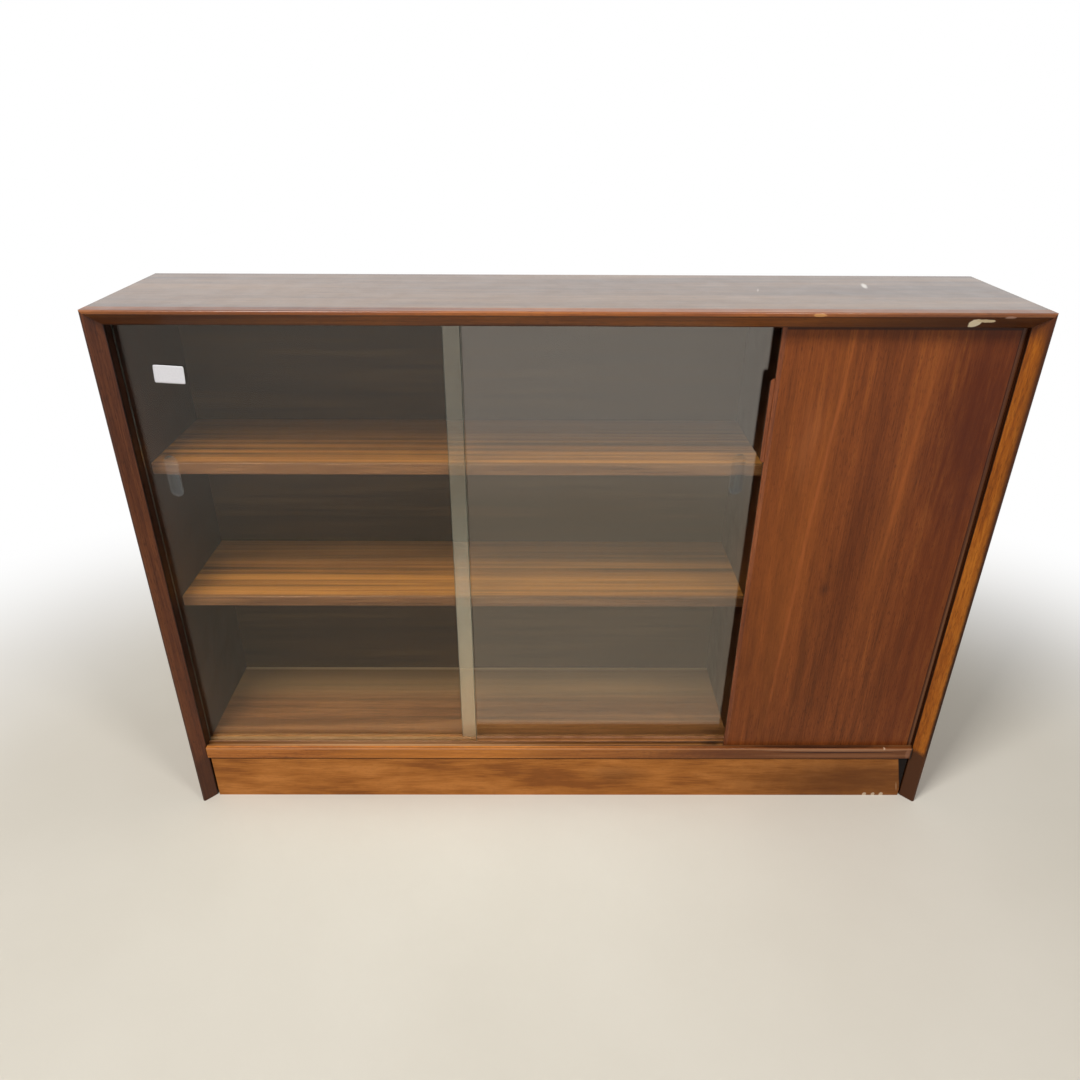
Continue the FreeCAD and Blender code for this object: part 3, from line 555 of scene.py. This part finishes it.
# Dark lines: a painted shadow under the top, and along the joint with the right strip.
mark(door_veneer, "#2a1209", (430, door_face, 808), (RUN, 9, 5.5), soft=0.4, most=0.8)
mark(door_veneer, "#2a1209", (583.5, door_face, 455), (1.8, 4, RUN), soft=0.4, most=0.8)
door_strip = timber("lacquered_solid_sapele_door_strip", "Z", ("#5c2e16", "#783f20", "#90522e"), (2.4, 1.3, 0.9),
                    drift=(30, 400), ribbon=(5, 150))

# The left edge lies in shade and the right strip is darker, with a rubbed lower half.
mark(door_strip, "#200d07", (266, -92.5, 455), (10.6, 5.4, RUN), soft=0.08, most=0.9)
mark(door_strip, "#42230f", (590, -95.5, 455), (7, 12, RUN), soft=0.05, most=0.85)
mark(door_strip, "#7c5236", (587, door_face, 260), (2.6, 6, 420), soft=0.7, most=0.75)
dress(door_veneer, "wood_door_panel")
dress(door_strip, "wood_door_left_lipping", "wood_door_right_lipping", "finger_pull")

# ------------------------------------------------------------------ floor, light and camera
# A plain pale floor that fades to white far away, one large soft lamp high on the left in front, a
# weaker one on the right, and an even white surround that looks brighter than it lights.


def seen(tree):
    """1 for what the camera sees straight, mirrored or through glass, and 0 for the light that falls on things."""
    paths = tree.nodes.new("ShaderNodeLightPath")
    near = add(tree, "Math", (paths.outputs["Is Camera Ray"], paths.outputs["Is Glossy Ray"]), operation="MAXIMUM")
    return add(tree, "Math", (near, paths.outputs["Is Transmission Ray"]), operation="MAXIMUM")


reach = 14.0  # m, half the floor's width
mesh = bpy.data.meshes.new("floor")
mesh.from_pydata([(-reach, -reach, 0), (reach, -reach, 0), (reach, reach, 0), (-reach, reach, 0)], [], [(0, 1, 2, 3)])
floor = stand("floor", mesh)
screed, tree, finish = begin("pale_screed")
place = add(tree, "TexCoord", out="Object")
cloud = add(tree, "TexNoise", {"Vector": place, "Scale": 2.2, "Detail": 5.0})  # clouds of 450 mm
tone = add(tree, "Mix", {"Factor": cloud, "A": srgb("#c3bcae"), "B": srgb("#d2ccc0")}, data_type="RGBA")
fill(tree, finish, {"Base Color": tone, "Roughness": 0.7, "Specular IOR Level": 0.2})
FADE = {"From Min": 0.75, "From Max": 1.6}  # metres from the case to where it begins and ends
oval = add(tree, "Mapping", {"Vector": place, "Location": (0, 0.35, 0), "Scale": (0.8, 1, 1)})
away = add(tree, "VectorMath", (oval,), out="Value", operation="LENGTH")
fade = add(tree, "MapRange", {"Value": away, **FADE}, interpolation_type="SMOOTHSTEP")
fade = add(tree, "Math", (fade, seen(tree)), operation="MULTIPLY")
white = add(tree, "Emission", {"Color": (1, 1, 1, 1), "Strength": 1.0})
both = add(tree, "MixShader", (fade, finish.outputs["BSDF"], white))
tree.links.new(both, tree.nodes["Material Output"].inputs["Surface"])
mesh.materials.append(screed)

SURROUND = {"To Min": 0.36, "To Max": 1.0}  # how brightly it lights things, and how bright it looks
world = bpy.data.worlds.new("white_room")
bpy.context.scene.world = world
world.use_nodes = True
tree = world.node_tree
glow = add(tree, "MapRange", {"Value": seen(tree), **SURROUND})
fill(tree, tree.nodes["Background"], {"Color": (1, 1, 1, 1), "Strength": glow})

# The lamps, by place and size in m and power in watts. Both point at the middle of the case.
AIM = Vector((0, 0, 0.4))
for name, spot, watts, size in (("key", (-1.1, -1.45, 3.15), 86, (0.8, 0.7)),
                                ("fill", (1.1, -1.5, 3.15), 28, (0.5, 0.5))):
    lamp = bpy.data.lights.new(name, "AREA")
    lamp.shape = "RECTANGLE"
    lamp.size, lamp.size_y = size
    lamp.energy = watts
    holder = stand(name, lamp)
    holder.location = spot
    holder.rotation_euler = (AIM - Vector(spot)).to_track_quat("-Z", "Y").to_euler()

# The camera stands about a metre in front, a little above the top: place in m, turns in degrees to the
# right, down and round its own axis, and the focal length in mm on a 36 mm frame.
CAMERA = {"place": (-0.0413, -1.1596, 1.0677), "turns": (0.32, 28.28, -0.28), "lens": 27.62}
yaw, pitch, roll = (math.radians(angle) for angle in CAMERA["turns"])
ahead = Vector((math.sin(yaw) * math.cos(pitch), math.cos(yaw) * math.cos(pitch), -math.sin(pitch)))
level = Vector((math.cos(yaw), -math.sin(yaw), 0))
above = level.cross(ahead)
right = math.cos(roll) * level - math.sin(roll) * above
up = math.sin(roll) * level + math.cos(roll) * above
lens = bpy.data.cameras.new("camera")
lens.lens = CAMERA["lens"]
lens.sensor_width = 36.0
camera = stand("camera", lens)
facing = Matrix((right, up, -ahead)).transposed().to_4x4()
camera.matrix_world = Matrix.Translation(CAMERA["place"]) @ facing
bpy.context.scene.camera = camera
bpy.context.scene.view_settings.view_transform = "Standard"
